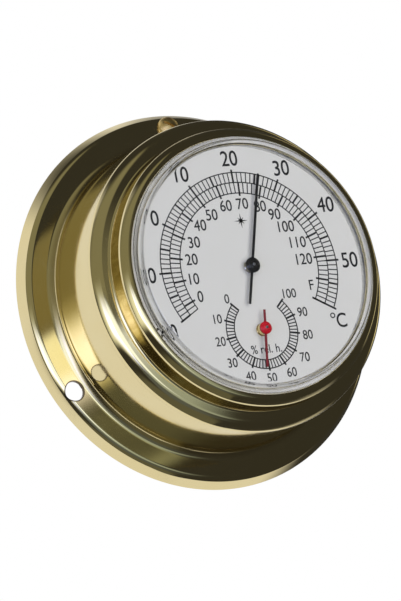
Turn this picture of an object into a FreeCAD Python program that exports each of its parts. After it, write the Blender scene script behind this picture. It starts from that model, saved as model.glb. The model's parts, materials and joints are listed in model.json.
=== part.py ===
import FreeCAD, Part
import math
import os
from collections import namedtuple

# Brass ship's thermometer and hygrometer, 127 mm across the wall flange.
# Frame: origin at the centre of the wall plane, +X to the right and +Z up as seen from the front,
# the dial faces -Y. A depth is a distance forward of the wall plane, so depth d is y = -d.
# All sizes are in millimetres.

V = FreeCAD.Vector

# --- case ------------------------------------------------------------------------------------------
FLANGE_R = 63.5          # flange foot, where the case meets the wall
DRUM_R = 52.0            # outside of the drum and of the bezel
SHEET = 1.2              # spun brass thickness
FLANGE_FACE = 4.7        # depth of the flat front of the flange
FOOT_FILLET = 3.0        # outside radius between flange and drum
RIM_ROUND = 2.4          # outside radius of the flange rim
RIM_TURN = 62.0          # degrees the rim turns before it runs straight down to the wall
DRUM_END = 31.0          # depth where the drum stops and the bezel begins

HOLE_CIRCLE_R = 57.9     # mounting hole centres
HOLE_R = 3.2
LOWER_HOLE_ANGLE = 28.0  # degrees below the horizontal of the two lower holes

# --- bezel, crystal and dial -------------------------------------------------------------------------
DIAL_FACE = 40.7         # depth of the printed face
DIAL_R = 44.6
DIAL_THICK = 0.8
CRYSTAL_FLANGE = 0.9     # thickness of the crystal's clamped edge
CRYSTAL_R = 42.4         # raised part of the crystal
CRYSTAL_BORE = 40.2      # inside wall of the crystal
CRYSTAL_SHOULDER = 45.2  # depth where the side wall turns into the bevel
CRYSTAL_FACE = 48.1      # depth of the flat front
CRYSTAL_FACE_R = 40.6
CRYSTAL_THICK = 2.3
GASKET_THICK = 0.3
SEAT_GAP = 0.3           # between the dial's edge and the bezel
MOUTH_GAP = 0.15         # between the crystal and the mouth of the bezel

# Corners of the bezel's outside as radius, depth and rounding, from the drum to the mouth.
BEZEL_SHOULDER = ((DRUM_R, 32.12, 1.6), (50.2, 34.57, 4.0), (45.95, 35.17, 1.0))
BEZEL_WALL = ((45.75, 41.2, 0), (46.0, 41.4, 0))
BEZEL_ROLL = ((46.0, 42.1, 1.3), (44.5, 44.1, 2.0), (CRYSTAL_R + MOUTH_GAP, 44.4, 0.4))
SPIGOT_LENGTH = 5.0      # bezel skirt inside the drum
SPIGOT_WALL = 1.35
SPIGOT_GAP = 0.05

# --- inner housing and back cover --------------------------------------------------------------------
HOUSING_R = 49.1
HOUSING_WALL = 2.0
HOUSING_SHOULDER = 33.2  # depth where the housing meets the bezel and steps in to carry the dial
HOUSING_BACK = 1.9
LIP_R = 54.0             # rear lip that bears on the inside of the drum's foot
LIP_GAP = 0.1
COVER_FRONT = 4.4
COVER_THICK = 2.0
COVER_SCREW_CIRCLE_R = 43.6
COVER_SCREW_ANGLES = (90.0, 210.0, 330.0)
BOSS_R = 3.8
BOSS_TOP = 14.0
VENT_COUNT = 12
VENT_WIDTH = 2.6
VENT_INNER_R = 29.5
VENT_OUTER_R = 38.5
ACCESS_HOLE_R = 4.5

# --- movements ---------------------------------------------------------------------------------------
BRIDGE_BACK = 24.0       # depth of the rear face of both bridges
BRIDGE_THICK = 1.0
STUD_R = 1.0
STUD_LENGTH = 3.6
NUT_FLATS = 4.0
NUT_THICK = 1.6
ARBOR_R = 0.5
RUNNING_GAP = 0.04
BARREL_R = 3.0           # calibration bush that turns in the bridge
ARM_THICK = 0.8          # arm on the calibration bush
ARM_HALF = 1.3
POST_R = 0.6             # pin at the end of the arm
BUSH_R = 2.1
BUSH_NOSE = 0.5          # height of the bush in front of the dial
SOLDER_GAP = 0.02

Movement = namedtuple(
    "Movement",
    "name z leg_x foot_length width coil_r coil_pitch coil_turns coil_strip coil_width "
    "pointer_depth pointer_thick pointer_half tip tail disc_r cap_r cap_high tube_r rest_angle",
)

THERMO_REST = 25.2       # degrees Celsius shown at rest
THERMO_STEP = 3.0        # degrees of turn per degree Celsius, 20 C is at twelve o'clock
HYGRO_REST = 46.8        # per cent relative humidity shown at rest
HYGRO_STEP = 2.7         # degrees of turn per per cent, 50 % is at six o'clock

# Rest angles are measured anticlockwise from three o'clock.
THERMO = Movement(
    name="thermo", z=0.0, leg_x=17.0, foot_length=6.5, width=9.0,
    coil_r=2.9, coil_pitch=1.15, coil_turns=7, coil_strip=0.35, coil_width=5.0,
    pointer_depth=42.4, pointer_thick=0.3, pointer_half=0.45, tip=31.2, tail=13.0, disc_r=1.9,
    cap_r=2.5, cap_high=1.3, tube_r=1.6,
    rest_angle=90.0 - (THERMO_REST - 20.0) * THERMO_STEP,
)
HYGRO = Movement(
    name="hygro", z=-20.9, leg_x=12.5, foot_length=6.0, width=8.0,
    coil_r=2.6, coil_pitch=0.95, coil_turns=6, coil_strip=0.25, coil_width=3.5,
    pointer_depth=42.9, pointer_thick=0.3, pointer_half=0.42, tip=12.8, tail=6.1, disc_r=1.7,
    cap_r=2.05, cap_high=1.2, tube_r=2.0,
    rest_angle=270.0 + (HYGRO_REST - 50.0) * HYGRO_STEP,
)

# --- worked out ----------------------------------------------------------------------------------------
TURN = math.radians(RIM_TURN)
RIM_DEPTH = FLANGE_FACE - RIM_ROUND
SKIRT_TOP = RIM_DEPTH + RIM_ROUND * math.cos(TURN)
RIM_CENTRE_R = FLANGE_R - RIM_ROUND * math.sin(TURN) - SKIRT_TOP / math.tan(TURN)
FOOT_R = DRUM_R + FOOT_FILLET
FOOT_DEPTH = FLANGE_FACE + FOOT_FILLET
DRUM_BORE = DRUM_R - SHEET
DIAL_BACK = DIAL_FACE - DIAL_THICK
CLAMP_DEPTH = DIAL_FACE + CRYSTAL_FLANGE + GASKET_THICK
HOUSING_BORE = HOUSING_R - HOUSING_WALL
ARM_BACK = BRIDGE_BACK + BRIDGE_THICK + 0.05
COIL_BACK = ARM_BACK + ARM_THICK + 1.15
FACE = 1.0               # length by which a cutting tool passes through a face


# --- helpers -------------------------------------------------------------------------------------------
def arc(centre_r, centre_depth, radius, start_deg, end_deg):
    """Start, middle and end of an arc in (radius, depth); 0 degrees points away from the axis."""
    angles = (start_deg, (start_deg + end_deg) / 2, end_deg)
    return tuple(
        (
            centre_r + radius * math.cos(math.radians(a)),
            centre_depth + radius * math.sin(math.radians(a)),
        )
        for a in angles
    )


def section_point(pair):
    return V(pair[0], -pair[1], 0)


def section(path):
    """Closed face from (radius, depth) points and (start, middle, end) arcs."""
    edges = []
    first = None
    pen = None
    for item in path:
        is_arc = isinstance(item[0], tuple)
        start = section_point(item[0] if is_arc else item)
        if pen is None:
            first = start
        elif pen.distanceToPoint(start) > 1e-6:
            edges.append(Part.LineSegment(pen, start).toShape())
        pen = start
        if is_arc:
            pen = section_point(item[2])
            edges.append(Part.Arc(start, section_point(item[1]), pen).toShape())
    edges.append(Part.LineSegment(pen, first).toShape())
    return Part.Face(Part.Wire(edges))


def lathe(path, z=0.0):
    """Turned solid about the axis that stands on the wall at height z."""
    solid = section(path).revolve(V(0, 0, 0), V(0, 1, 0), 360)
    solid.translate(V(0, 0, z))
    return solid


def rod(x, z, radius, back, front):
    """Cylinder along the depth from back to front."""
    return Part.makeCylinder(radius, front - back, V(x, -back, z), V(0, -1, 0))


def block(x0, x1, z0, z1, back, front):
    return Part.makeBox(x1 - x0, front - back, z1 - z0, V(x0, -front, z0))


def polar(radius, angle_deg):
    angle = math.radians(angle_deg)
    return radius * math.cos(angle), radius * math.sin(angle)


def turned(shape, angle_deg, z=0.0):
    """Copy turned anticlockwise, as seen from the front, about the axis at height z."""
    copy = shape.copy()
    copy.rotate(V(0, 0, z), V(0, 1, 0), -angle_deg)
    return copy


def hexagon(x, z, flats, back, front):
    corners = [polar(flats / math.sqrt(3), 60 * k) for k in range(7)]
    wire = Part.makePolygon([V(x + a, -back, z + b) for a, b in corners])
    return Part.Face(wire).extrude(V(0, back - front, 0))


def save(name, shape):
    solids = shape.Solids
    result = solids[0] if len(solids) == 1 else Part.makeCompound(solids)
    result.exportStep(os.path.join("parts", name + ".step"))


# --- case and front ----------------------------------------------------------------------------------
def rounded(corners):
    """Outline through corners (radius, depth, rounding), with an arc at every rounded corner."""
    path = []
    for k, (radius, depth, rounding) in enumerate(corners):
        if rounding == 0:
            path.append((radius, depth))
            continue
        here = V(radius, depth, 0)
        to_last = V(*corners[k - 1][:2], 0) - here
        to_next = V(*corners[(k + 1) % len(corners)][:2], 0) - here
        to_last.normalize()
        to_next.normalize()
        half = to_last.getAngle(to_next) / 2
        start = here + to_last * (rounding / math.tan(half))
        end = here + to_next * (rounding / math.tan(half))
        inwards = to_last + to_next
        inwards.normalize()
        middle = here + inwards * (rounding / math.sin(half) - rounding)
        path.append(((start.x, start.y), (middle.x, middle.y), (end.x, end.y)))
    return path


def case_shell():
    """Spun brass case: rim, flange and drum in one sheet, with the mounting holes."""
    turn_end = 90 - RIM_TURN
    outside = [
        (FLANGE_R, 0),
        arc(RIM_CENTRE_R, RIM_DEPTH, RIM_ROUND, turn_end, 90),
        arc(FOOT_R, FOOT_DEPTH, FOOT_FILLET, 270, 180),
        (DRUM_R, DRUM_END),
    ]
    inside = [
        (DRUM_BORE, DRUM_END),
        arc(FOOT_R, FOOT_DEPTH, FOOT_FILLET + SHEET, 180, 270),
        arc(RIM_CENTRE_R, RIM_DEPTH, RIM_ROUND - SHEET, 90, turn_end),
        (FLANGE_R - SHEET / math.sin(TURN), 0),
    ]
    shell = lathe(outside + inside)
    for angle in (90, 180 + LOWER_HOLE_ANGLE, -LOWER_HOLE_ANGLE):
        x, z = polar(HOLE_CIRCLE_R, angle)
        shell = shell.cut(rod(x, z, HOLE_R, 0, FLANGE_FACE + FACE))
    return shell


def mounting_screw():
    """Slotted round-head screw in the top hole; its shank stops at the wall plane."""
    head_r, head_high = 3.8, 2.9
    seat = FLANGE_FACE + 0.2
    dome_r = (head_r ** 2 + head_high ** 2) / (2 * head_high)
    half_angle = math.degrees(math.asin(head_r / dome_r))
    dome = lathe([
        (0, seat),
        arc(0, seat + head_high - dome_r, dome_r, 90 - half_angle, 90),
    ], HOLE_CIRCLE_R)
    screw = dome.fuse(rod(0, HOLE_CIRCLE_R, 1.9, 0.3, seat)).removeSplitter()
    slot_depth = seat + head_high - 1.3
    slot = block(-head_r, head_r, -0.45, 0.45, slot_depth, seat + head_high + FACE)
    slot = turned(slot, -35)
    slot.translate(V(0, 0, HOLE_CIRCLE_R))
    return screw.cut(slot)


def bezel_ring():
    """Turned brass ring: rounded shoulder, upright wall, roll over the crystal, skirt in the drum."""
    skirt_r = DRUM_BORE - SPIGOT_GAP
    skirt_bore = skirt_r - SPIGOT_WALL
    skirt_back = DRUM_END - SPIGOT_LENGTH
    mouth_r = CRYSTAL_R + MOUTH_GAP
    seat_r = DIAL_R + SEAT_GAP
    outside = ((DRUM_R, DRUM_END, 0),) + BEZEL_SHOULDER + BEZEL_WALL + BEZEL_ROLL
    inside = (
        (mouth_r, CLAMP_DEPTH, 0),
        (seat_r, CLAMP_DEPTH, 0),
        (seat_r, HOUSING_SHOULDER, 0),
        (skirt_bore, HOUSING_SHOULDER, 0),
        (skirt_bore, skirt_back, 0),
        (skirt_r, skirt_back, 0),
        (skirt_r, DRUM_END, 0),
    )
    return lathe(rounded(outside + inside))


def crystal():
    """Moulded clear crystal: clamped flange, side wall, bevel and flat front."""
    inside_depth = CRYSTAL_FACE - CRYSTAL_THICK
    return lathe([
        (0, CRYSTAL_FACE),
        (CRYSTAL_FACE_R - 0.6, CRYSTAL_FACE),
        (CRYSTAL_FACE_R, CRYSTAL_FACE - 0.3),
        (CRYSTAL_R - 0.3, CRYSTAL_SHOULDER + 0.4),
        (CRYSTAL_R, CRYSTAL_SHOULDER - 0.4),
        (CRYSTAL_R, DIAL_FACE + CRYSTAL_FLANGE),
        (DIAL_R, DIAL_FACE + CRYSTAL_FLANGE),
        (DIAL_R, DIAL_FACE),
        (CRYSTAL_BORE, DIAL_FACE),
        (CRYSTAL_BORE, inside_depth - 1.4),
        (CRYSTAL_BORE - 1.4, inside_depth),
        (0, inside_depth),
    ])


def crystal_gasket():
    """Flat rubber ring between the crystal's flange and the bezel."""
    back = DIAL_FACE + CRYSTAL_FLANGE
    inner = CRYSTAL_R + 0.35
    return lathe([(inner, back), (DIAL_R, back), (DIAL_R, CLAMP_DEPTH), (inner, CLAMP_DEPTH)])


def dial_plate():
    """Dial with a hole at each pointer and welded studs behind for the bridges."""
    dial = rod(0, 0, DIAL_R, DIAL_BACK, DIAL_FACE)
    for m in (THERMO, HYGRO):
        for x in stud_places(m):
            dial = dial.fuse(rod(x, m.z, STUD_R, DIAL_BACK - STUD_LENGTH, DIAL_BACK))
    for m in (THERMO, HYGRO):
        dial = dial.cut(rod(0, m.z, BUSH_R, DIAL_BACK - FACE, DIAL_FACE + FACE))
    return dial.removeSplitter()


# --- housing and back ----------------------------------------------------------------------------------
def inner_housing():
    """Moulded ring that carries the dial and is trapped between the drum's foot and the bezel."""
    foot_curve = FOOT_FILLET + SHEET + LIP_GAP
    lip_angle = math.degrees(math.acos((FOOT_R - LIP_R) / foot_curve))
    ledge_r = DIAL_R - 1.9
    housing = lathe([
        (LIP_R, HOUSING_BACK),
        arc(FOOT_R, FOOT_DEPTH, foot_curve, 180 + lip_angle, 180),
        (FOOT_R - foot_curve, FOOT_DEPTH + 2.0),
        (HOUSING_R, FOOT_DEPTH + 4.0),
        (HOUSING_R, HOUSING_SHOULDER),
        (DIAL_R + 0.1, HOUSING_SHOULDER),
        (DIAL_R + 0.1, DIAL_BACK),
        (ledge_r, DIAL_BACK),
        (ledge_r, HOUSING_SHOULDER - HOUSING_WALL),
        (HOUSING_BORE, HOUSING_SHOULDER - HOUSING_WALL),
        (HOUSING_BORE, HOUSING_BACK),
    ])
    rim = rod(0, 0, HOUSING_BORE + 0.1, COVER_FRONT, BOSS_TOP)
    for angle in COVER_SCREW_ANGLES:
        x, z = polar(COVER_SCREW_CIRCLE_R, angle)
        housing = housing.fuse(rod(x, z, BOSS_R, COVER_FRONT, BOSS_TOP).common(rim))
        housing = housing.cut(rod(x, z, 1.25, COVER_FRONT - FACE, BOSS_TOP - 2.0))
    return housing.removeSplitter()


def back_cover():
    """Vented disc that closes the housing, with a hole for a screwdriver behind each movement."""
    back = COVER_FRONT - COVER_THICK
    cover_r = HOUSING_BORE - 0.15
    cover = lathe([
        (0, back),
        (cover_r - 0.5, back),
        (cover_r, back + 0.5),
        (cover_r, COVER_FRONT),
        (0, COVER_FRONT),
    ])
    half = VENT_WIDTH / 2
    vent = block(VENT_INNER_R, VENT_OUTER_R, -half, half, back - FACE, COVER_FRONT + FACE)
    for end in (VENT_INNER_R, VENT_OUTER_R):
        vent = vent.fuse(rod(end, 0, half, back - FACE, COVER_FRONT + FACE))
    for k in range(VENT_COUNT):
        cover = cover.cut(turned(vent, (k + 0.5) * 360 / VENT_COUNT))
    for m in (THERMO, HYGRO):
        cover = cover.cut(rod(0, m.z, ACCESS_HOLE_R, back - FACE, COVER_FRONT + FACE))
    for angle in COVER_SCREW_ANGLES:
        x, z = polar(COVER_SCREW_CIRCLE_R, angle)
        cover = cover.cut(rod(x, z, 1.6, back - FACE, COVER_FRONT + FACE))
        cover = cover.cut(rod(x, z, 2.6, back - FACE, back + 0.9))
    return cover


def back_cover_screws():
    """Three cheese-head screws sunk in the cover, each with a straight slot."""
    head_back = COVER_FRONT - COVER_THICK + 0.1
    head_front = COVER_FRONT - COVER_THICK + 0.9
    screws = []
    for angle in COVER_SCREW_ANGLES:
        x, z = polar(COVER_SCREW_CIRCLE_R, angle)
        head = rod(x, z, 2.5, head_back, head_front)
        slot = block(x - 3.0, x + 3.0, z - 0.3, z + 0.3, head_back - FACE, head_back + 0.45)
        slot.rotate(V(x, 0, z), V(0, 1, 0), angle + 20)
        screws.append(head.cut(slot).fuse(rod(x, z, 1.25, head_front, BOSS_TOP - 2.5)))
    return Part.makeCompound([screw.removeSplitter() for screw in screws])


# --- movements: fixed pieces ---------------------------------------------------------------------------
def stud_places(m):
    reach = m.leg_x + m.foot_length / 2
    return (-reach, reach)


def bridge(m):
    """Bent brass strap behind the dial; its feet sit on the studs."""
    back, front = BRIDGE_BACK, DIAL_BACK
    outer, inner = m.leg_x, m.leg_x - BRIDGE_THICK
    end = m.leg_x + m.foot_length
    half_section = [
        (inner, back + BRIDGE_THICK),
        (inner, front),
        (end, front),
        (end, front - BRIDGE_THICK),
        (outer, front - BRIDGE_THICK),
        (outer, back),
    ]
    mirrored = [(-x, depth) for x, depth in reversed(half_section)]
    strap = section(half_section + mirrored).extrude(V(0, 0, m.width))
    strap.translate(V(0, 0, m.z - m.width / 2))
    bends = [
        edge for edge in strap.Edges
        if abs(edge.Vertexes[0].X - edge.Vertexes[-1].X) < 1e-6
        and abs(edge.Vertexes[0].Y - edge.Vertexes[-1].Y) < 1e-6
        and abs(edge.Vertexes[0].X) < end - 0.1
    ]
    strap = strap.makeFillet(0.6, bends)
    strap = strap.cut(rod(0, m.z, BARREL_R + RUNNING_GAP, back - FACE, back + BRIDGE_THICK + FACE))
    for x in stud_places(m):
        strap = strap.cut(rod(x, m.z, STUD_R + 0.1, front - 2 * BRIDGE_THICK, front + FACE))
    return strap


def bridge_nuts(m):
    front = DIAL_BACK - BRIDGE_THICK
    nuts = []
    for x in stud_places(m):
        nut = hexagon(x, m.z, NUT_FLATS, front - NUT_THICK, front)
        nuts.append(nut.cut(rod(x, m.z, STUD_R, front - NUT_THICK - FACE, front + FACE)))
    return Part.makeCompound(nuts)


def front_bush(m):
    """Flanged bush pressed into the dial from behind; the arbor turns in it."""
    bore = ARBOR_R + RUNNING_GAP
    nose = DIAL_FACE + BUSH_NOSE
    return lathe([
        (bore, DIAL_BACK - 0.8),
        (BUSH_R + 1.0, DIAL_BACK - 0.8),
        (BUSH_R + 1.0, DIAL_BACK),
        (BUSH_R, DIAL_BACK),
        (BUSH_R, nose - 0.2),
        (BUSH_R - 0.2, nose),
        (bore, nose),
    ], m.z)


# --- movements: calibration bush with the fixed end of the coil -------------------------------------------
def post_x(m):
    """Place of the coil post: beside the outer end of the coil, which is at +X after whole turns."""
    last_half_turn = 2 * m.coil_turns - 1
    outer_end = m.coil_pitch / 4 + m.coil_r + last_half_turn * m.coil_pitch / 2 + m.coil_strip / 2
    return outer_end + POST_R + SOLDER_GAP


def calibrator(m):
    """Slotted bush that turns in the bridge and carries the arm for the coil post."""
    arm_front = ARM_BACK + ARM_THICK
    tail = BRIDGE_BACK - 2.4
    bush = lathe([
        (0, tail),
        (BARREL_R - 0.3, tail),
        (BARREL_R, tail + 0.3),
        (BARREL_R, ARM_BACK),
        (BARREL_R + 1.4, ARM_BACK),
        (BARREL_R + 1.4, arm_front),
        (0, arm_front),
    ], m.z)
    arm_end = post_x(m)
    arm = block(0, arm_end, m.z - ARM_HALF, m.z + ARM_HALF, ARM_BACK, arm_front)
    arm = arm.fuse(rod(arm_end, m.z, ARM_HALF, ARM_BACK, arm_front))
    bush = bush.fuse(arm).removeSplitter()
    bush = bush.cut(rod(arm_end, m.z, POST_R, ARM_BACK - FACE, arm_front + FACE))
    slot = block(-BARREL_R, BARREL_R, m.z - 0.4, m.z + 0.4, tail - FACE, tail + 1.0)
    pivot = rod(0, m.z, ARBOR_R + RUNNING_GAP, BRIDGE_BACK + 0.3, arm_front + FACE)
    groove = lathe([
        (BARREL_R - 0.5, BRIDGE_BACK - 1.1),
        (BARREL_R + FACE, BRIDGE_BACK - 1.1),
        (BARREL_R + FACE, BRIDGE_BACK - 0.4),
        (BARREL_R - 0.5, BRIDGE_BACK - 0.4),
    ], m.z)
    return bush.cut(slot).cut(pivot).cut(groove)


def calibrator_clip(m):
    """Open spring clip in the bush's groove, behind the bridge."""
    ring = rod(0, m.z, BARREL_R + 1.3, BRIDGE_BACK - 1.05, BRIDGE_BACK - 0.45)
    ring = ring.cut(rod(0, m.z, BARREL_R - 0.48, BRIDGE_BACK - 2.0, BRIDGE_BACK))
    mouth = block(-1.8, 1.8, m.z, m.z + 2 * BARREL_R, BRIDGE_BACK - 2.0, BRIDGE_BACK)
    return ring.cut(mouth)


def coil_post(m):
    """Pin in the calibration arm that holds the coil's outer end."""
    return rod(post_x(m), m.z, POST_R, ARM_BACK, COIL_BACK + m.coil_width + 0.5)


def coil(m):
    """Spiral strip drawn with half turns whose centres alternate about the axis."""
    half_pitch = m.coil_pitch / 2
    outer, inner = [], []
    for k in range(2 * m.coil_turns):
        centre = V(half_pitch / 2 * (-1 if k % 2 == 0 else 1), -COIL_BACK, m.z)
        radius = m.coil_r + k * half_pitch
        for edges, offset in ((outer, m.coil_strip / 2), (inner, -m.coil_strip / 2)):
            spokes = [polar(radius + offset, 180 * k + turn) for turn in (0, 90, 180)]
            ends = [centre + V(x, 0, z) for x, z in spokes]
            edges.append(Part.Arc(*ends).toShape())
    start_cap = Part.LineSegment(inner[0].Vertexes[0].Point, outer[0].Vertexes[0].Point)
    end_cap = Part.LineSegment(outer[-1].Vertexes[-1].Point, inner[-1].Vertexes[-1].Point)
    edges = [start_cap.toShape()] + outer + [end_cap.toShape()] + inner[::-1]
    face = Part.Face(Part.Wire(edges))
    return face.extrude(V(0, -m.coil_width, 0))


# --- movements: turning pieces -------------------------------------------------------------------------
def coil_collet(m):
    """Brass collet pressed on the arbor; the coil's inner end is soldered to it."""
    radius = m.coil_r - m.coil_strip / 2 - m.coil_pitch / 4 - SOLDER_GAP
    back = COIL_BACK - 0.4
    front = COIL_BACK + m.coil_width + 0.4
    return lathe([
        (ARBOR_R, back),
        (radius - 0.3, back),
        (radius, back + 0.3),
        (radius, front - 0.3),
        (radius - 0.3, front),
        (ARBOR_R, front),
    ], m.z)


def arbor(m):
    """Steel arbor with a conical rear pivot; its front end shows in the middle of the cap."""
    back = BRIDGE_BACK + 0.35
    front = m.pointer_depth + m.pointer_thick + m.cap_high + 0.1
    return lathe([
        (0, back),
        (0.15, back),
        (ARBOR_R, back + 0.7),
        (ARBOR_R, front - 0.1),
        (ARBOR_R - 0.1, front),
        (0, front),
    ], m.z)


def pointer_tube(m):
    """Brass tube that carries the pointer on the arbor."""
    back = DIAL_FACE + BUSH_NOSE + 0.2
    return lathe([
        (ARBOR_R, back),
        (m.tube_r - 0.2, back),
        (m.tube_r, back + 0.2),
        (m.tube_r, m.pointer_depth),
        (ARBOR_R, m.pointer_depth),
    ], m.z)


def pointer(m):
    """Flat bar with a boss disc; it narrows a little towards both ends."""
    half = m.pointer_half
    end_half = half * 0.85
    corners = [
        (-m.tail, -end_half),
        (-m.tail, end_half),
        (0, half),
        (m.tip - 0.3, end_half),
        (m.tip, end_half - 0.2),
        (m.tip, 0.2 - end_half),
        (m.tip - 0.3, -end_half),
        (0, -half),
    ]
    corners.append(corners[0])
    wire = Part.makePolygon([V(a, -m.pointer_depth, m.z + b) for a, b in corners])
    bar = Part.Face(wire).extrude(V(0, -m.pointer_thick, 0))
    front = m.pointer_depth + m.pointer_thick
    bar = bar.fuse(rod(0, m.z, m.disc_r, m.pointer_depth, front)).removeSplitter()
    bar = bar.cut(rod(0, m.z, ARBOR_R, m.pointer_depth - FACE, front + FACE))
    return turned(bar, m.rest_angle, m.z)


def hub_cap(m):
    """Domed cap pressed on the arbor, which passes through it."""
    back = m.pointer_depth + m.pointer_thick
    wall = 0.35 * m.cap_high
    rise = m.cap_high - wall
    dome_r = (m.cap_r ** 2 + rise ** 2) / (2 * rise)
    half_angle = math.degrees(math.asin(m.cap_r / dome_r))
    bore_angle = math.degrees(math.asin(ARBOR_R / dome_r))
    return lathe([
        (ARBOR_R, back),
        (m.cap_r - 0.1, back),
        (m.cap_r, back + 0.1),
        arc(0, back + m.cap_high - dome_r, dome_r, 90 - half_angle, 90 - bore_angle),
    ], m.z)


# --- output ------------------------------------------------------------------------------------------
os.makedirs("parts", exist_ok=True)

for make in (
    case_shell, mounting_screw, bezel_ring, crystal, crystal_gasket, dial_plate,
    inner_housing, back_cover, back_cover_screws,
):
    save(make.__name__, make())

for movement in (THERMO, HYGRO):
    for make in (
        bridge, bridge_nuts, front_bush, calibrator, calibrator_clip, coil_post, coil,
        coil_collet, arbor, pointer_tube, pointer, hub_cap,
    ):
        save(movement.name + "_" + make.__name__, make(movement))
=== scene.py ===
import json
import math

import bmesh
import bpy
from mathutils import Matrix, Vector
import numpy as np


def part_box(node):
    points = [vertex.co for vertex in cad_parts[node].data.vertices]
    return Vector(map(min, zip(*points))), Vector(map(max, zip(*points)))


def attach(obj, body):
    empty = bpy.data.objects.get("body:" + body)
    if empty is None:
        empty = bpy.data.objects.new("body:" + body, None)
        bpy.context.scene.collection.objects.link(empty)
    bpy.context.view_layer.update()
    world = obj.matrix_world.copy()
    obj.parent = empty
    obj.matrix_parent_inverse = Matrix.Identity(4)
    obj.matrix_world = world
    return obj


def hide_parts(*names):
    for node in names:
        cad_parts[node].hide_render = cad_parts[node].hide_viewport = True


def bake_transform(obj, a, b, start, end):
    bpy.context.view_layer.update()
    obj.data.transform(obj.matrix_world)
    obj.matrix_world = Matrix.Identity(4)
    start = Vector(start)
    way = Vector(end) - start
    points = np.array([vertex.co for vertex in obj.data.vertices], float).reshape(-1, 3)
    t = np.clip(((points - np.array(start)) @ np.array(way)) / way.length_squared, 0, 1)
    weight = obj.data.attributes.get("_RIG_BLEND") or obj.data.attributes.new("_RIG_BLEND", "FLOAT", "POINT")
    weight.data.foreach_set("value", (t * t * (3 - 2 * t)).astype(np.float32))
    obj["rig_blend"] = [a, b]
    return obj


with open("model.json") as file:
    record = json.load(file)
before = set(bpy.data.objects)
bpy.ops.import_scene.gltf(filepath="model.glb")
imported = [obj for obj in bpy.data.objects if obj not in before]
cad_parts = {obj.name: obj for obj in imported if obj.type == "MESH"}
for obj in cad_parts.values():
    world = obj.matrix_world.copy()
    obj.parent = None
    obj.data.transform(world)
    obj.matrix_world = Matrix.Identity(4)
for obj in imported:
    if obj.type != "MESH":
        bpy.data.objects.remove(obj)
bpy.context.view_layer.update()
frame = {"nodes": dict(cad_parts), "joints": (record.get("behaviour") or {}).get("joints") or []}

# Looks of a brass ship's thermometer and hygrometer. Metres, in the frame of the CAD model: origin at
# the centre of the wall plane, +X right and +Z up seen from the front, the dial faces -Y.
# A depth is a distance forward of the wall plane, and millimetres are written as n * MM.

MM = 0.001
CUTTER_BACK = -10 * MM   # reach of the cutter that bores holes
CUTTER_FRONT = 60 * MM
STEPS_ROUND = 720        # facets round a large turned piece
STEPS_PLAIN = 96         # facets round a hole or the floor
ARC_STEP = 5.0           # degrees between points on a rounded corner
SHARP = math.radians(30.0)    # edges that turn more than this stay sharp


# --- sizes read from the frame --------------------------------------------------------------------
def reach(node, z=0.0):
    """Largest radius of a node about the dial axis, or about the parallel axis at height z."""
    return max(math.hypot(v.co.x, v.co.z - z) for v in frame["nodes"][node].data.vertices)


def front_of(node):
    """Depth of a node's foremost point."""
    return -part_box(node)[0].y


def place_of(joint):
    """A point on a joint's axis."""
    found = next(j for j in frame["joints"] if j["name"] == joint)
    return Vector(found["pos_m"])


FLANGE_R = reach("case_shell")
DRUM_END = front_of("case_shell")
DRUM_R = reach("bezel_ring")
DIAL_R = reach("dial_plate")
DIAL_FACE = front_of("dial_plate")
CRYSTAL_FACE = front_of("crystal")
HYGRO_Z = place_of("hygro_pointer_turn").z

# --- sizes of the brass and the crystal, as in the CAD model --------------------------------------
SHEET = 1.2 * MM
FLANGE_FACE = 4.7 * MM   # depth of the flange's flat face
RIM_ROUND = 2.4 * MM
RIM_TURN = math.radians(62.0)    # from the wall plane to the skirt's slope
FOOT_FILLET = 3.0 * MM
HOLE_CIRCLE_R = 57.9 * MM
HOLE_R = 3.2 * MM
HOLE_ANGLES = (90.0, 208.0, -28.0)
WALL_R = 45.95 * MM      # upright wall of the bezel, where it meets the shoulder
WALL_FOOT = 35.17 * MM   # depth of that corner
WALL_TOP = 41.4 * MM     # depth where the roll over the crystal begins
CRYSTAL_R = 42.4 * MM    # outside of the crystal's side wall
CRYSTAL_BORE = 40.2 * MM


# --- mesh helpers ---------------------------------------------------------------------------------
def rounded(corners):
    """Points (radius, depth) along an outline of corners (radius, depth, rounding), arcs at the corners."""
    points = []
    count = len(corners)
    for k in range(count):
        here = Vector(corners[k][:2])
        to_last = (Vector(corners[k - 1][:2]) - here).normalized()
        to_next = (Vector(corners[(k + 1) % count][:2]) - here).normalized()
        rounding = corners[k][2]
        half = to_last.angle(to_next) / 2
        if rounding == 0 or half > math.radians(89.9):
            points.append(here)
            continue
        centre = here + (to_last + to_next).normalized() * rounding / math.sin(half)
        start = here + to_last * rounding / math.tan(half) - centre
        sweep = math.pi - 2 * half
        if start.x * to_last.y - start.y * to_last.x > 0:
            sweep = -sweep
        steps = max(3, math.ceil(abs(math.degrees(sweep)) / ARC_STEP))
        for i in range(steps + 1):
            turn = Matrix.Rotation(sweep * i / steps, 2)
            points.append(centre + turn @ start)
    return points


def new_object(name, mesh, material):
    mesh.materials.append(material)
    piece = bpy.data.objects.new(name, mesh)
    bpy.context.scene.collection.objects.link(piece)
    return piece


def smooth(mesh):
    mesh.shade_smooth()
    mesh.set_sharp_from_angle(angle=SHARP)


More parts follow.
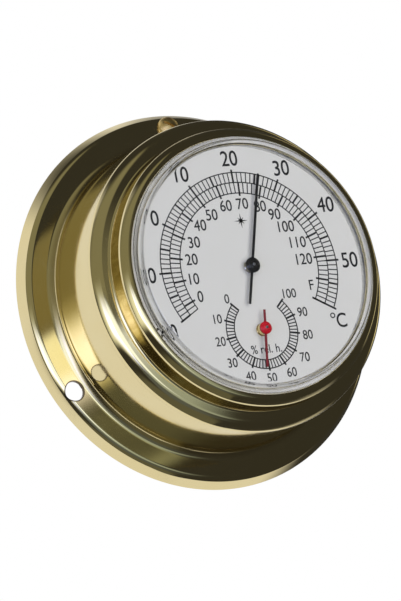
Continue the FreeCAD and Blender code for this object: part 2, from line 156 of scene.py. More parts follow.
def lathe(name, corners, material, steps=STEPS_ROUND):
    """Piece turned about the dial axis from a closed outline."""
    points = rounded(corners)
    on_axis = [abs(p.x) < 1e-9 for p in points]
    verts, rows = [], []
    for point, single in zip(points, on_axis):
        count = 1 if single else steps
        rows.append([len(verts) + i % count for i in range(steps)])
        for i in range(count):
            angle = 2 * math.pi * i / steps
            verts.append((point.x * math.cos(angle), -point.y, point.x * math.sin(angle)))
    faces = []
    for k in range(len(points)):
        j = (k + 1) % len(points)
        if on_axis[k] and on_axis[j]:
            continue
        for i in range(steps):
            n = (i + 1) % steps
            corner = [rows[k][i], rows[k][n], rows[j][n], rows[j][i]]
            faces.append(list(dict.fromkeys(corner)))
    mesh = bpy.data.meshes.new(name)
    mesh.from_pydata(verts, [], faces)
    edit = bmesh.new()
    edit.from_mesh(mesh)
    bmesh.ops.recalc_face_normals(edit, faces=edit.faces)
    edit.to_mesh(mesh)
    edit.free()
    smooth(mesh)
    return new_object(name, mesh, material)


def tube_faces(edit, rows):
    """Walls between consecutive rows of four vertices, and a cap at each end."""
    for k in range(len(rows) - 1):
        for i in range(4):
            j = (i + 1) % 4
            edit.faces.new((rows[k][i], rows[k][j], rows[k + 1][j], rows[k + 1][i]))
    edit.faces.new(rows[0][::-1])
    edit.faces.new(rows[-1])


def polar(radius, degrees):
    angle = math.radians(degrees)
    return radius * math.cos(angle), radius * math.sin(angle)


def bore(piece, x, z, radius):
    """Cuts a round hole right through a piece, along the depth."""
    outline = [
        (0, CUTTER_BACK, 0), (radius, CUTTER_BACK, 0), (radius, CUTTER_FRONT, 0), (0, CUTTER_FRONT, 0),
    ]
    cutter = lathe("cutter", outline, piece.data.materials[0], STEPS_PLAIN)
    cutter.location = (x, 0, z)
    cut = piece.modifiers.new("bore", "BOOLEAN")
    cut.object = cutter
    cut.solver = "EXACT"
    bpy.context.view_layer.update()
    depsgraph = bpy.context.evaluated_depsgraph_get()
    mesh = bpy.data.meshes.new_from_object(piece.evaluated_get(depsgraph))
    piece.modifiers.clear()
    piece.data = mesh
    smooth(mesh)
    bpy.data.objects.remove(cutter)


def stands_for(piece, body, slot, *nodes):
    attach(piece, body)
    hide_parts(*nodes)
    return piece


# --- node helpers ---------------------------------------------------------------------------------
class Graph:
    """Short calls for a node tree. An argument is a number, a colour or another node's output."""

    def __init__(self, tree):
        self.tree = tree

    def node(self, kind, inputs=(), output=0, **settings):
        made = self.tree.nodes.new("ShaderNode" + kind)
        for key, value in settings.items():
            setattr(made, key, value)
        for key, value in dict(inputs).items():
            if isinstance(value, bpy.types.NodeSocket):
                self.tree.links.new(value, made.inputs[key])
            else:
                made.inputs[key].default_value = value
        return made.outputs[output]

    def math(self, operation, a, b=0.0, c=0.0):
        return self.node("Math", {0: a, 1: b, 2: c}, operation=operation)

    def hypot(self, a, b):
        """Length of the vector (a, b)."""
        squares = self.math("ADD", self.math("MULTIPLY", a, a), self.math("MULTIPLY", b, b))
        return self.math("SQRT", squares)

    def ramp(self, value, low, high, to_low=0.0, to_high=1.0):
        """Smooth step of value from low to high."""
        return self.node("MapRange", {0: value, 1: low, 2: high, 3: to_low, 4: to_high},
                         interpolation_type="SMOOTHSTEP")

    def band(self, value, edges):
        """1 between the two middle edges, falling smoothly to 0 at the outer two."""
        start, full, fading, gone = edges
        return self.math("MULTIPLY", self.ramp(value, start, full), self.ramp(value, fading, gone, 1.0, 0.0))

    def stretched(self, vector, x, y, z):
        """The vector with each part multiplied, for noise that is drawn out along an axis."""
        return self.node("Mapping", {0: vector, 3: (x, y, z)})

    def noise(self, vector, scale=1.0, detail=3.0, roughness=0.5, distortion=0.0):
        return self.node("TexNoise", {
            "Vector": vector, "Scale": scale, "Detail": detail,
            "Roughness": roughness, "Distortion": distortion,
        })

    def mix(self, share, a, b):
        return self.node("Mix", {0: share, 6: a, 7: b}, output=2, data_type="RGBA")

    def bump(self, height, distance, normal=None):
        inputs = {"Height": height, "Distance": distance, "Strength": 1.0}
        if normal is not None:
            inputs["Normal"] = normal
        return self.node("Bump", inputs)

    def position(self):
        """Place in the piece's own coordinates, in metres."""
        return self.node("TexCoord", output=3)

    def split(self, vector):
        """The vector's three parts."""
        self.node("SeparateXYZ", {0: vector})
        return self.tree.nodes[-1].outputs

    def combine(self, x, y, z):
        return self.node("CombineXYZ", {0: x, 1: y, 2: z})


def rgba(red, green, blue):
    return (red, green, blue, 1.0)


class Material(Graph):
    """A material with one Principled shader whose settings are given by name."""

    def __init__(self, name, **settings):
        self.material = bpy.data.materials.new(name)
        self.material.use_nodes = True
        super().__init__(self.material.node_tree)
        self.shader = self.tree.nodes["Principled BSDF"]
        for key, value in settings.items():
            self.set(key.replace("_", " "), value)

    def set(self, socket, value):
        if isinstance(value, bpy.types.NodeSocket):
            self.tree.links.new(value, self.shader.inputs[socket])
        else:
            self.shader.inputs[socket].default_value = value


# --- materials ------------------------------------------------------------------------------------
def turned_coordinates(g, z=0.0):
    """Outputs for a turned piece: radius, depth, and the cosine and sine of the angle round its axis."""
    x, y, height = g.split(g.position())
    height = g.math("SUBTRACT", height, z)
    radius = g.hypot(x, height)
    safe = g.math("MAXIMUM", radius, 1e-6)
    depth = g.math("MULTIPLY", y, -1.0)
    return radius, depth, g.math("DIVIDE", x, safe), g.math("DIVIDE", height, safe)


def turning_marks(g, turned, lines_per_mm, along=1.5):
    """Noise drawn out round the axis: the fine rings that polishing or turning leaves."""
    radius, depth, cosine, sine = turned
    ring = g.math("MULTIPLY", radius, lines_per_mm / MM)
    step = g.math("MULTIPLY", depth, lines_per_mm / MM)
    around = g.combine(g.math("MULTIPLY", cosine, along), ring, g.math("MULTIPLY", sine, along))
    return g.node("TexNoise", {"Vector": around, "W": step, "Scale": 1.0, "Detail": 2.0},
                  noise_dimensions="4D")


def crease(g, turned, radius, depth, width):
    """1 on the ring at that radius and depth, falling to 0 a width away from it."""
    across = g.math("SUBTRACT", turned[0], radius)
    forward = g.math("SUBTRACT", turned[1], depth)
    return g.ramp(g.hypot(across, forward), 0.0, width, 1.0, 0.0)


def bezel_wall(g, turned):
    """1 on the upright wall of the bezel, 0 elsewhere."""
    radius, depth = turned[:2]
    across = (WALL_R - 0.65 * MM, WALL_R - 0.35 * MM, WALL_R + 0.1 * MM, WALL_R + 0.65 * MM)
    along = (WALL_FOOT + 0.03 * MM, WALL_FOOT + 0.73 * MM, WALL_TOP - 0.5 * MM, WALL_TOP + 0.1 * MM)
    return g.math("MULTIPLY", g.band(radius, across), g.band(depth, along))


def hole_edges(g, place):
    """1 at the punched edges of the mounting holes, falling to 0 just outside them."""
    x, _, height = g.split(place)
    edges = 0.0
    for angle in HOLE_ANGLES:
        across, up = polar(HOLE_CIRCLE_R, angle)
        away = g.hypot(g.math("SUBTRACT", x, across), g.math("SUBTRACT", height, up))
        edges = g.math("MAXIMUM", edges, g.ramp(away, HOLE_R + 0.2 * MM, HOLE_R + 0.45 * MM, 1.0, 0.0))
    return edges


def polished_brass():
    """Lacquered spun brass: mirror polish with faint rings, smudges, hairlines, dust and painted shade in
    the creases, and a painted reflection on the bezel's wall.
    """
    g = Material("polished_brass", Metallic=1.0)
    place = g.position()
    turned = turned_coordinates(g)
    patches = g.noise(place, 38.0, detail=4.0, distortion=0.6)
    smudges = g.ramp(g.noise(place, 90.0, detail=6.0, roughness=0.6, distortion=1.2), 0.52, 0.78)
    rings = turning_marks(g, turned, lines_per_mm=3.5)
    scratches = g.noise(g.stretched(place, 160.0, 1500.0, 900.0), detail=5.0, roughness=0.75, distortion=0.4)
    hairlines = g.ramp(scratches, 0.66, 0.72)
    # Browner, darker brass in the creases at the drum's foot and the bezel wall's foot: dust, and painted
    # shade where the creases lie in shadow.
    foot_dust_and_shade = crease(g, turned, DRUM_R + 0.6 * MM, FLANGE_FACE + 0.5 * MM, 2.2 * MM)
    wall_dust_and_shade = crease(g, turned, WALL_R, WALL_FOOT + 0.03 * MM, 0.5 * MM)
    crease_dust_and_shade = g.math("MAXIMUM", foot_dust_and_shade, wall_dust_and_shade)
    crease_dust_and_shade = g.math("MULTIPLY", crease_dust_and_shade, g.ramp(patches, 0.25, 0.7, 0.25, 0.7))
    color = g.mix(g.ramp(patches, 0.3, 0.7), rgba(0.905, 0.765, 0.405), rgba(0.92, 0.79, 0.44))
    color = g.mix(crease_dust_and_shade, color, rgba(0.42, 0.31, 0.13))
    # Darker, marbled gold on the bezel's upright wall: a painted reflection.
    marbled = g.noise(g.stretched(place, 260.0, 90.0, 260.0), detail=5.0, distortion=2.0)
    painted_wall_reflection = g.mix(g.ramp(marbled, 0.3, 0.7), rgba(0.62, 0.47, 0.16), rgba(0.80, 0.64, 0.27))
    color = g.mix(bezel_wall(g, turned), color, painted_wall_reflection)
    color = g.mix(hole_edges(g, place), color, rgba(0.10, 0.07, 0.03))
    rough = g.math("MULTIPLY_ADD", smudges, 0.08, 0.07)
    rough = g.math("MULTIPLY_ADD", rings, 0.03, rough)
    rough = g.math("MULTIPLY_ADD", crease_dust_and_shade, 0.22, rough)
    rough = g.math("MULTIPLY_ADD", hairlines, 0.10, rough)
    g.set("Base Color", color)
    g.set("Roughness", rough)
    soft = g.bump(g.noise(place, 55.0, detail=1.0), 0.03 * MM)
    soft = g.bump(g.noise(place, 260.0, detail=2.0), 0.002 * MM, soft)
    fine = g.bump(rings, 0.00012 * MM, soft)
    g.set("Normal", g.bump(hairlines, 0.0004 * MM, fine))
    return g.material


def turned_metal(name, color, dark, z, roughness):
    """A small turned or rolled metal piece: rings of tool marks and slightly uneven tarnish."""
    g = Material(name, Metallic=1.0)
    turned = turned_coordinates(g, z)
    rings = turning_marks(g, turned, lines_per_mm=7.0)
    stain = g.noise(g.position(), 420.0, detail=5.0, distortion=0.8)
    g.set("Base Color", g.mix(g.ramp(stain, 0.35, 0.75, 0.0, 0.6), rgba(*color), rgba(*dark)))
    rough = g.math("MULTIPLY_ADD", rings, 0.14, roughness - 0.05)
    g.set("Roughness", g.math("MULTIPLY_ADD", stain, 0.10, rough))
    g.set("Normal", g.bump(rings, 0.0012 * MM))
    return g.material


def rolled_metal(name, color, dark):
    """Stamped or drawn strip: straight rolling lines along its length and dull stains."""
    g = Material(name, Metallic=1.0)
    lines = g.noise(g.stretched(g.position(), 300.0, 5200.0, 5200.0))
    stain = g.noise(g.position(), 260.0, detail=5.0, distortion=1.0)
    g.set("Base Color", g.mix(g.ramp(stain, 0.4, 0.75, 0.0, 0.7), rgba(*color), rgba(*dark)))
    rough = g.math("MULTIPLY_ADD", lines, 0.16, 0.22)
    g.set("Roughness", g.math("MULTIPLY_ADD", stain, 0.12, rough))
    g.set("Normal", g.bump(lines, 0.0015 * MM))
    return g.material


def clear_acrylic():
    """Moulded clear acrylic: a barely uneven surface, hairline marks and a streaked grey edge of painted
    shade.
    """
    g = Material("crystal_clear", Transmission_Weight=1.0, IOR=1.49)
    place = g.position()
    tint = g.noise(place, 60.0, detail=2.0)
    clear = g.mix(tint, rgba(0.985, 0.995, 0.99), rgba(0.995, 1.0, 0.998))
    turned = turned_coordinates(g)
    rings = turning_marks(g, turned, lines_per_mm=2.0, along=4.0)
    streaks = g.ramp(rings, 0.42, 0.62)
    # The grey, streaked band at the crystal's edge is painted shade: darker by the bore, lighter outward.
    edge = g.ramp(turned[0], CRYSTAL_BORE - 0.2 * MM, CRYSTAL_BORE + 0.3 * MM)
    inner = g.mix(streaks, rgba(0.40, 0.40, 0.39), rgba(0.17, 0.17, 0.165))
    outer = g.mix(streaks, rgba(0.98, 0.98, 0.965), rgba(0.70, 0.70, 0.68))
    outward = g.ramp(turned[0], CRYSTAL_BORE + 0.3 * MM, CRYSTAL_BORE + 1.3 * MM)
    painted_edge_shade = g.mix(outward, inner, outer)
    g.set("Base Color", g.mix(edge, clear, painted_edge_shade))
    marks = g.noise(g.stretched(place, 2500.0, 900.0, 120.0), detail=4.0, roughness=0.7)
    g.set("Roughness", g.ramp(marks, 0.72, 0.80, 0.0, 0.06))
    g.set("Normal", g.bump(tint, 0.004 * MM))
    return g.material


def moulded_black(name, color, spark=1900.0):
    """Black moulding with a fine spark-eroded texture and slightly shinier patches."""
    g = Material(name)
    place = g.position()
    grain = g.noise(place, spark, detail=3.0, roughness=0.6)
    patches = g.noise(place, 45.0, detail=3.0)
    lighter = tuple(1.5 * c for c in color)
    g.set("Base Color", g.mix(g.ramp(patches, 0.3, 0.8), rgba(*color), rgba(*lighter)))
    rough = g.math("MULTIPLY_ADD", patches, 0.15, 0.38)
    g.set("Roughness", g.math("MULTIPLY_ADD", grain, 0.15, rough))
    g.set("Normal", g.bump(grain, 0.012 * MM))
    return g.material


def rubber():
    """Black rubber with a faint grey bloom."""
    g = Material("gasket_rubber")
    bloom = g.noise(g.position(), 500.0, detail=5.0)
    g.set("Base Color", g.mix(g.ramp(bloom, 0.4, 0.8), rgba(0.018, 0.018, 0.018), rgba(0.05, 0.05, 0.048)))
    g.set("Roughness", g.ramp(bloom, 0.2, 0.8, 0.6, 0.85))
    g.set("Normal", g.bump(bloom, 0.01 * MM))
    return g.material


def dial_enamel():
    """Off-white satin enamel: a fine orange peel and a very faint mottle."""
    g = Material("dial_white")
    place = g.position()
    peel = g.noise(place, 1500.0, detail=2.0)
    mottle = g.noise(place, 120.0, detail=4.0)
    g.set("Base Color", g.mix(mottle, rgba(0.740, 0.720, 0.670), rgba(0.762, 0.742, 0.695)))
    g.set("Roughness", g.math("MULTIPLY_ADD", mottle, 0.12, 0.42))
    g.set("Normal", g.bump(peel, 0.0016 * MM))
    return g.material


def paint(name, color, deep, roughness=0.35):
    """Painted or pad-printed finish: slightly uneven film over metal."""
    g = Material(name)
    place = g.position()
    film = g.noise(place, 900.0, detail=4.0)
    g.set("Base Color", g.mix(g.ramp(film, 0.3, 0.7), rgba(*color), rgba(*deep)))
    g.set("Roughness", g.math("MULTIPLY_ADD", film, 0.2, roughness - 0.1))
    g.set("Normal", g.bump(film, 0.003 * MM))
    return g.material


BRASS = (0.86, 0.68, 0.32)
BRASS_DARK = (0.62, 0.42, 0.17)
NICKEL = (0.72, 0.70, 0.64)
NICKEL_DARK = (0.50, 0.47, 0.40)
STEEL = (0.60, 0.60, 0.59)
STEEL_DARK = (0.36, 0.35, 0.34)

brass = polished_brass()
acrylic = clear_acrylic()
housing_black = moulded_black("housing_black", (0.020, 0.020, 0.021))
cover_black = moulded_black("cover_black", (0.024, 0.024, 0.025), spark=1300.0)
enamel = dial_enamel()
ink = paint("print_ink", (0.012, 0.012, 0.013), (0.020, 0.020, 0.021), roughness=0.5)


def movement_materials(movement, z):
    """Materials of one movement's pieces, by the last part of the node's name."""
    nickel = movement == "thermo"
    bush = (NICKEL, NICKEL_DARK) if nickel else (BRASS, BRASS_DARK)
    if nickel:
        pointer = paint("thermo_pointer_black", (0.010, 0.010, 0.011), (0.018, 0.018, 0.018))
        cap = paint("thermo_cap_black", (0.008, 0.008, 0.009), (0.015, 0.015, 0.015), roughness=0.22)
        coil = rolled_metal("bimetal_steel", (0.58, 0.57, 0.54), (0.42, 0.38, 0.32))
    else:
        pointer = paint("hygro_pointer_red", (0.23, 0.022, 0.032), (0.18, 0.015, 0.023))
        cap = paint("hygro_cap_red", (0.60, 0.010, 0.025), (0.50, 0.006, 0.018), roughness=0.22)
        coil = rolled_metal("hygro_strip", (0.66, 0.54, 0.34), (0.46, 0.36, 0.20))
    return {
        "bridge": rolled_metal(movement + "_bridge_brass", BRASS, BRASS_DARK),
        "bridge_nuts": turned_metal(movement + "_nut_brass", BRASS, BRASS_DARK, z, 0.28),
        "front_bush": turned_metal(movement + "_bush", *bush, z, 0.16),
        "calibrator": turned_metal(movement + "_calibrator_brass", BRASS, BRASS_DARK, z, 0.24),
        "calibrator_clip": rolled_metal(movement + "_spring_steel", STEEL_DARK, (0.2, 0.19, 0.18)),
        "coil_post": turned_metal(movement + "_post_brass", BRASS, BRASS_DARK, z, 0.25),
        "coil_collet": turned_metal(movement + "_collet_brass", BRASS, BRASS_DARK, z, 0.22),
        "arbor": turned_metal(movement + "_arbor_steel", STEEL, STEEL_DARK, z, 0.36),
        "pointer_tube": turned_metal(movement + "_tube", *bush, z, 0.18),
        "pointer": pointer,
        "hub_cap": cap,
        "coil": coil,
    }


def finish_node(name, material):
    """Gives a CAD node its one material."""
    mesh = frame["nodes"][name].data
    mesh.materials.clear()
    mesh.materials.append(material)


# --- case, bezel and crystal ----------------------------------------------------------------------
def build_case():
    """Spun case: sloping skirt, rolled rim, flat flange, foot fillet and drum in one sheet."""
    slope = 1 / math.tan(RIM_TURN)
    sheet_back = FLANGE_FACE - SHEET
    inner_foot = FLANGE_R - SHEET / math.sin(RIM_TURN)
    corners = [
        (FLANGE_R, 0, 0.1 * MM),
        (FLANGE_R - FLANGE_FACE * slope, FLANGE_FACE, RIM_ROUND),
        (DRUM_R, FLANGE_FACE, FOOT_FILLET),
        (DRUM_R, DRUM_END, 0.08 * MM),
        (DRUM_R - SHEET, DRUM_END, 0.1 * MM),
        (DRUM_R - SHEET, sheet_back, FOOT_FILLET + SHEET),
        (inner_foot - sheet_back * slope, sheet_back, RIM_ROUND - SHEET),
        (inner_foot, 0, 0.1 * MM),
    ]
    case = lathe("brass_case", corners, brass)
    for angle in HOLE_ANGLES:
        bore(case, *polar(HOLE_CIRCLE_R, angle), HOLE_R)
    stands_for(case, "case", "polished_brass", "case_shell")


def build_bezel():
    """Turned ring: rounded shoulder, upright wall, rolled lip over the crystal and the skirt in the drum."""
    lip_r = 46.0 * MM
    lip_bore = 42.55 * MM
    skirt_r = DRUM_R - SHEET - 0.05 * MM
    skirt_bore = skirt_r - 1.35 * MM
    seat_r = DIAL_R + 0.3 * MM
    step = 33.2 * MM
    skirt_back = DRUM_END - 5.0 * MM
    corners = [
        (DRUM_R, DRUM_END + 0.02 * MM, 0),
        (DRUM_R, 32.12 * MM, 1.6 * MM),
        (50.2 * MM, 34.57 * MM, 4.0 * MM),
        (WALL_R, WALL_FOOT, 1.0 * MM),
        (WALL_R - 0.2 * MM, WALL_TOP - 0.2 * MM, 0.05 * MM),
        (lip_r, WALL_TOP, 0.05 * MM),
        (lip_r, 42.1 * MM, 1.3 * MM),
        (44.5 * MM, 44.1 * MM, 2.0 * MM),
        (lip_bore, 44.4 * MM, 0.4 * MM),
        (lip_bore, DIAL_FACE + 1.2 * MM, 0.05 * MM),
        (seat_r, DIAL_FACE + 1.2 * MM, 0),
        (seat_r, step, 0),
        (skirt_bore, step, 0),
        (skirt_bore, skirt_back, 0.2 * MM),
        (skirt_r, skirt_back, 0.2 * MM),
        (skirt_r, DRUM_END + 0.02 * MM, 0),
    ]
    stands_for(lathe("brass_bezel", corners, brass), "case", "polished_brass", "bezel_ring")


def build_crystal():
    """Moulded crystal: clamped flange, side wall, bevel and flat front."""
    inside = CRYSTAL_FACE - 2.3 * MM
    flange = DIAL_FACE + 0.9 * MM
    corners = [
        (0, CRYSTAL_FACE, 0),
        (20 * MM, CRYSTAL_FACE, 0),
        (CRYSTAL_BORE + 0.15 * MM, CRYSTAL_FACE, 0.5 * MM),
        (CRYSTAL_R, 45.2 * MM, 1.0 * MM),
        (CRYSTAL_R, flange, 0.1 * MM),
        (DIAL_R, flange, 0.1 * MM),
        (DIAL_R, DIAL_FACE, 0.1 * MM),
        (CRYSTAL_BORE, DIAL_FACE, 0.1 * MM),
        (CRYSTAL_BORE, inside, 1.4 * MM),
        (20 * MM, inside, 0),
        (0, inside, 0),
    ]
    crystal = lathe("clear_crystal", corners, acrylic)
    # The dial behind it is lit as if the crystal were not there.
    crystal.visible_shadow = False
    crystal.visible_diffuse = False
    stands_for(crystal, "case", "crystal_clear", "crystal")


# --- dial print -----------------------------------------------------------------------------------
UNIT = 0.983 * MM        # the dial's drawing unit
FILM = 0.03 * MM         # thickness of the print
LINE = 0.38              # widths of the lines, in drawing units
THIN = 0.37
BOLD = 0.64
CONDENSED = 0.86         # width of the numerals against the plain face
STROKE_GROWTH = 0.009    # added round the numerals' strokes, in heights of a line of text


def thicken(mesh, growth):
    """Moves the outline of flat lettering outward, without filling the holes in it."""
    outward = {}
    for face in mesh.polygons:
        if abs(face.normal.z) < 0.5:
            for index in face.vertices:
                spot = tuple(round(c, 5) for c in mesh.vertices[index].co.xy)
                outward[spot] = outward.get(spot, Vector((0, 0))) + face.normal.xy
    for vertex in mesh.vertices:
        way = outward.get(tuple(round(c, 5) for c in vertex.co.xy), Vector((0, 0)))
        vertex.co.xy += way.normalized() * growth


class Print:
    """One group of print on the dial, drawn as thin closed strips and letters."""

    def __init__(self, name, z=0.0):
        self.name = name
        self.z = z
        self.edit = bmesh.new()

    def vertex(self, x, z, raised):
        depth = DIAL_FACE + (FILM if raised else 0.0)
        return self.edit.verts.new((x * UNIT, -depth, z * UNIT + self.z))

    def strip(self, left, right):
        """Closed strip between two lines of points of the same length."""
        rows = [
            [self.vertex(*a, True), self.vertex(*b, True), self.vertex(*b, False), self.vertex(*a, False)]
            for a, b in zip(left, right)
        ]
        tube_faces(self.edit, rows)

    def arc(self, radius, start, end, width, centre=(0.0, 0.0)):
        steps = max(2, round(abs(end - start) / 2))
        angles = [start + (end - start) * k / steps for k in range(steps + 1)]
        inner, outer = [], []
        for line, r in ((inner, radius - width / 2), (outer, radius + width / 2)):
            for angle in angles:
                x, z = polar(r, angle)
                line.append((centre[0] + x, centre[1] + z))
        self.strip(inner, outer)

    def tick(self, angle, start, end, width):
        along = Vector(polar(1.0, angle))
        across = Vector((-along.y, along.x)) * width / 2
        ends = (along * start, along * end)
        self.strip([tuple(p - across) for p in ends], [tuple(p + across) for p in ends])

    def label(self, text, x, z, height):
        """Condensed upright text with its middle at (x, z)."""
        curve = bpy.data.curves.new("label", "FONT")
        curve.body = text
        curve.extrude = 0.5
        curve.resolution_u = 6
        lettering = bpy.data.objects.new("label", curve)
        bpy.context.scene.collection.objects.link(lettering)
        bpy.context.view_layer.update()
        depsgraph = bpy.context.evaluated_depsgraph_get()
        mesh = bpy.data.meshes.new_from_object(lettering.evaluated_get(depsgraph))
        bpy.data.objects.remove(lettering)
        thicken(mesh, STROKE_GROWTH)
        low = [min(v.co[i] for v in mesh.vertices) for i in range(2)]
        high = [max(v.co[i] for v in mesh.vertices) for i in range(2)]
        scale = height / (high[1] - low[1])
        for vertex in mesh.vertices:
            across = (vertex.co.x - (low[0] + high[0]) / 2) * scale * CONDENSED + x
            upward = (vertex.co.y - (low[1] + high[1]) / 2) * scale + z
            depth = DIAL_FACE + (FILM if vertex.co.z > 0 else 0.0)
            vertex.co = (across * UNIT, -depth, upward * UNIT + self.z)
        self.edit.from_mesh(mesh)
        bpy.data.meshes.remove(mesh)

    def done(self):
        bmesh.ops.remove_doubles(self.edit, verts=self.edit.verts, dist=1e-7)
        bmesh.ops.recalc_face_normals(self.edit, faces=self.edit.faces)
        mesh = bpy.data.meshes.new(self.name)
        self.edit.to_mesh(mesh)
        self.edit.free()
        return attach(new_object(self.name, mesh, ink), "case")


def celsius_angle(value):
    return 90.0 - (value - 20.0) * 3.0


def fahrenheit_angle(value):
    return celsius_angle((value - 32.0) / 1.8)


def humidity_angle(value):
    return 270.0 + (value - 50.0) * 2.7


def build_celsius():
    scale = Print("print_celsius")
    outer, middle, long_end = 32.0, 28.6, 33.0
    for radius in (outer, middle):
        scale.arc(radius, celsius_angle(60), celsius_angle(-20), LINE)
    for value in range(-20, 61):
        wide = BOLD if value % 5 == 0 else THIN
        end = long_end if value % 10 == 0 else outer
        scale.tick(celsius_angle(value), middle, end, wide)
    labels = (
        ("20", 0.06, 36.8), ("10", -18.25, 32.5), ("30", 18.5, 32.4), ("0", -30.9, 18.6),
        ("40", 32.2, 19.0), ("50", 37.1, -0.3), ("-10", -38.3, -0.3), ("-20", -34.5, -19.4),
    )
    for text, x, z in labels:
        scale.label(text, x, z, height=5.25)
    scale.arc(0.75, 0, 360, 0.4, centre=(26.8, -18.5))
    scale.label("C", 29.75, -20.3, height=4.9)
    scale.done()


def build_fahrenheit():
    scale = Print("print_fahrenheit")
    inner, middle, long_start = 25.0, 28.6, 24.0
    scale.arc(inner, celsius_angle(60), celsius_angle(-20), LINE)
    for value in range(-4, 141, 2):
        whole = value % 10 == 0
        start = long_start if whole else inner
        scale.tick(fahrenheit_angle(value), start, middle, BOLD if whole else THIN)
    scale.tick(celsius_angle(60), long_start - 0.2, middle, BOLD)
    labels = (
        (-19.9, -8.5), (-20.9, -2.5), (-20.5, 4.0), (-18.4, 9.6), (-15.1, 15.1), (-10.2, 18.3),
        (-4.4, 21.0), (1.7, 21.3), (8.0, 20.0), (12.75, 17.0), (16.1, 12.6), (19.3, 7.0), (20.4, 1.2),
    )
    for k, (x, z) in enumerate(labels):
        scale.label(str(10 * k), x, z, height=3.8)
    scale.label("F", 21.2, -7.7, height=3.4)
    scale.done()


def build_humidity():
    scale = Print("print_humidity", HYGRO_Z)
    inner, outer, long_end = 10.0, 12.9, 13.7
    for radius in (inner, outer):
        scale.arc(radius, humidity_angle(0), humidity_angle(100), LINE)
    for value in range(0, 101, 2):
        whole = value % 10 == 0
        end = long_end if whole else outer
        scale.tick(humidity_angle(value), inner, end, BOLD if whole else THIN)
    labels = (
        (-10.6, 11.25), (-15.25, 4.85), (-15.75, -2.65), (-12.9, -9.95), (-7.25, -14.85), (0.3, -16.0),
        (7.8, -14.75), (13.6, -10.15), (16.25, -2.85), (15.9, 4.85), (12.5, 11.35),
    )
    for k, (x, z) in enumerate(labels):
        scale.label(str(10 * k), x, z, height=3.15)
    scale.label("% rel. h.", 0.25, -6.35, height=2.9)
    scale.done()


def build_emblem():
    """A small plain eight-pointed star above the middle of the dial."""
    emblem = Print("print_emblem")
    centre = Vector((0.0, 15.6))
    for k in range(8):
        angle = 90 + 45 * k
        length = 2.4 if k % 2 == 0 else 1.5
        tip = centre + Vector(polar(length, angle))
        side = Vector(polar(0.6, angle + 90))
        left = [tuple(centre - side * 0.5), tuple(tip)]
        right = [tuple(centre + side * 0.5), tuple(tip + side * 0.1)]
        emblem.strip(left, right)
    emblem.done()


# --- movements ------------------------------------------------------------------------------------
def build_coil(movement, z, inner_r, outer_r, turns, strip, material):
    """Spiral strip: its outer end stays with the calibration arm, its inner end turns with the arbor."""
    low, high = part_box(movement + "_coil")
    back, front = -high.y + 0.1 * MM, -low.y - 0.1 * MM
    steps = 72 * turns
    edit = bmesh.new()
    rows, shares = [], []
    for k in range(steps + 1):
        share = k / steps
        angle = 2 * math.pi * turns * share
        middle = inner_r + (outer_r - inner_r) * share
        row = []
        for radius, depth in ((middle - strip / 2, back), (middle + strip / 2, back),
                              (middle + strip / 2, front), (middle - strip / 2, front)):
            row.append(edit.verts.new((radius * math.cos(angle), -depth, radius * math.sin(angle) + z)))
            shares.append(1.0 - share)
        rows.append(row)
    tube_faces(edit, rows)
    bmesh.ops.recalc_face_normals(edit, faces=edit.faces)
    mesh = bpy.data.meshes.new(movement + "_wound_coil")
    edit.to_mesh(mesh)
    edit.free()
    smooth(mesh)
    coil = new_object(movement + "_wound_coil", mesh, material)
    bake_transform(coil, movement + "_calibration", movement + "_movement",
             start=(outer_r, -back, z), end=(0, -back, z))
    mesh.attributes["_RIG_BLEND"].data.foreach_set("value", shares)
    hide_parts(movement + "_coil")


def build_movement(movement, z, turns, strip):
    """Materials for a movement's pieces, and its coil wound between the collet and the post."""
    materials = movement_materials(movement, z)
    coil_material = materials.pop("coil")
    for part, material in materials.items():
        finish_node(movement + "_" + part, material)
    collet_r = reach(movement + "_coil_collet", z)
    post_low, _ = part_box(movement + "_coil_post")
    inner_r = collet_r + 0.02 * MM + strip / 2
    outer_r = post_low.x - 0.02 * MM - strip / 2
    build_coil(movement, z, inner_r, outer_r, turns, strip, coil_material)


# --- stage ----------------------------------------------------------------------------------------
CAMERA_PLACE = Vector((-0.6503, -1.2317, -0.2865))
CAMERA_AZIMUTH = math.radians(27.914)    # from +Y towards +X
CAMERA_ELEVATION = math.radians(11.616)
CAMERA_ROLL = math.radians(-10.91)
CAMERA_LENS = 260.14     # millimetres, on a sensor 36 mm wide
FLOOR_DROP = 0.9         # from the dial's centre down to the floor
FLOOR_R = 4.0


def build_camera():
    level = math.cos(CAMERA_ELEVATION)
    forward = Vector((math.sin(CAMERA_AZIMUTH) * level, math.cos(CAMERA_AZIMUTH) * level,
                      math.sin(CAMERA_ELEVATION)))
    level_right = forward.cross(Vector((0, 0, 1))).normalized()
    level_up = level_right.cross(forward)
    right = math.cos(CAMERA_ROLL) * level_right + math.sin(CAMERA_ROLL) * level_up
    up = right.cross(forward)
    data = bpy.data.cameras.new("camera")
    data.lens = CAMERA_LENS
    data.sensor_width = 36.0
    data.clip_start = 0.05
    data.clip_end = 50.0
    camera = bpy.data.objects.new("camera", data)
    camera.matrix_world = Matrix((right, up, -forward)).transposed().to_4x4()
    camera.location = CAMERA_PLACE
    bpy.context.scene.collection.objects.link(camera)
    bpy.context.scene.camera = camera


def soft_light(name, toward, distance, size, power):
    """Round soft box that shines on the object from the direction toward."""
    data = bpy.data.lights.new(name, "AREA")
    data.shape = "DISK"
    data.size = size
    data.energy = power
    light = bpy.data.objects.new(name, data)
    direction = Vector(toward).normalized()
    light.location = direction * distance
    light.rotation_mode = "QUATERNION"
    light.rotation_quaternion = direction.to_track_quat("Z", "Y")
    light.visible_glossy = False
    light.visible_transmission = False
    light.visible_camera = False
    bpy.context.scene.collection.objects.link(light)


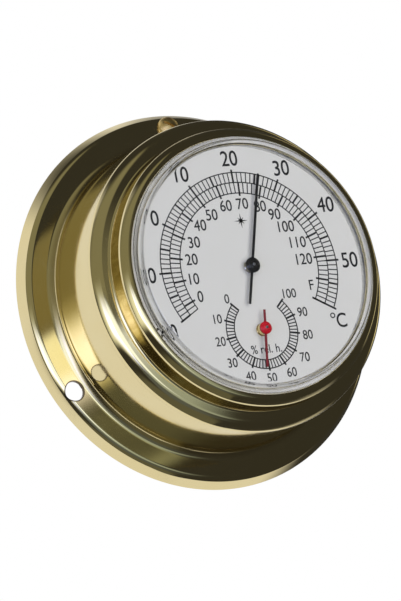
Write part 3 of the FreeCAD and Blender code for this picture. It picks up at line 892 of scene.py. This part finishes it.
# Patches of the surroundings. A bearing is in degrees from -X towards +Y, an elevation in degrees above
# the level; each is given as where the patch starts to show, is full, starts to fade and is gone.
SURROUNDINGS = (
    ((-104, -94, -10, 4), (2, 12, 52, 75), (0.215, 0.210, 0.150)),
    ((-104, -90, 70, 105), (-100, -95, -48, -36), (0.11, 0.11, 0.085)),
    ((-114, -90, -62, -56), (-50, -40, -18, -12), (0.10, 0.115, 0.13)),
    ((-114, -106, -86, -78), (-24, -17, -2, 4), (0.34, 0.40, 0.42)),
    ((1, 6, 98, 124), (-84, -79, 13, 33), (0.77, 0.77, 0.79)),
    ((-4, 5, 116, 130), (5, 12, 46, 70), (0.77, 0.77, 0.79)),
    ((96, 106, 156, 168), (-84, -79, -44, -24), (0.77, 0.77, 0.79)),
    ((90, 98, 126, 134), (-50, -40, -4, 6), (0.77, 0.77, 0.79)),
    ((-68, -61, -14, -7), (-25, -16, -4, 16), (0.90, 0.94, 0.90)),
    ((-84, -73, -30, -15), (-20, -10, -8, 9), (1.50, 1.70, 3.10)),
    ((-104, -97, -62, -60), (-11, -6, 4, 8), (1.15, 1.30, 1.70)),
    ((148, 154, 162, 169), (-10, -2, 36, 52), (0.75, 0.70, 0.50)),
)
SURROUNDING_DARK = (0.034, 0.033, 0.030)


def build_world():
    """Studio surroundings: dark, with soft-edged grey, white and bright patches to the left and behind."""
    world = bpy.data.worlds.new("studio")
    bpy.context.scene.world = world
    world.use_nodes = True
    g = Graph(world.node_tree)
    x, y, z = g.split(g.node("TexCoord", output=0))
    bearing = g.math("DEGREES", g.math("ARCTAN2", y, g.math("MULTIPLY", x, -1.0)))
    elevation = g.math("DEGREES", g.math("ARCSINE", z))

    color = rgba(*SURROUNDING_DARK)
    for bearings, elevations, patch in SURROUNDINGS:
        share = g.math("MULTIPLY", g.band(bearing, bearings), g.band(elevation, elevations))
        color = g.mix(share, color, rgba(*patch))
    color = g.mix(g.node("LightPath", output=0), color, rgba(1.0, 1.0, 1.0))
    background = world.node_tree.nodes["Background"]
    g.tree.links.new(color, background.inputs["Color"])


def build_floor():
    """White paper far below, which shows only to the camera."""
    g = Material("floor_paper")
    place = g.position()
    fleck = g.noise(place, 40.0, detail=4.0)
    paper = g.mix(fleck, rgba(0.86, 0.86, 0.85), rgba(0.89, 0.89, 0.88))
    g.set("Base Color", paper)
    g.set("Emission Color", paper)
    g.set("Emission Strength", 0.5)
    g.set("Roughness", g.math("MULTIPLY_ADD", fleck, 0.1, 0.7))
    thickness = 2 * MM
    outline = [(0, 0, 0), (FLOOR_R, 0, 0), (FLOOR_R, thickness, 0), (0, thickness, 0)]
    floor = lathe("floor", outline, g.material, STEPS_PLAIN)
    floor.rotation_euler = (math.radians(90), 0, 0)
    floor.location = (0, 0, -FLOOR_DROP)
    floor.visible_diffuse = False
    floor.visible_glossy = False
    floor.visible_transmission = False


# --- making ---------------------------------------------------------------------------------------
build_camera()
build_world()
build_floor()
soft_light("key", toward=(0.10, -1.0, 0.02), distance=1.2, size=1.2, power=10.85)

build_case()
build_bezel()
build_crystal()
build_celsius()
build_fahrenheit()
build_humidity()
build_emblem()

screw_brass = turned_metal("screw_brass", (0.95, 0.72, 0.30), (0.82, 0.55, 0.20),
                           z=HOLE_CIRCLE_R, roughness=0.34)
finish_node("mounting_screw", screw_brass)
finish_node("crystal_gasket", rubber())
finish_node("dial_plate", enamel)
finish_node("inner_housing", housing_black)
finish_node("back_cover", cover_black)
finish_node("back_cover_screws", rolled_metal("screw_steel", STEEL, STEEL_DARK))
build_movement("thermo", 0.0, turns=7, strip=0.35 * MM)
build_movement("hygro", HYGRO_Z, turns=6, strip=0.25 * MM)

scene = bpy.context.scene
scene.view_settings.view_transform = "Standard"
scene.cycles.use_denoising = True
scene.cycles.max_bounces = 24
scene.cycles.transmission_bounces = 16
scene.cycles.glossy_bounces = 12
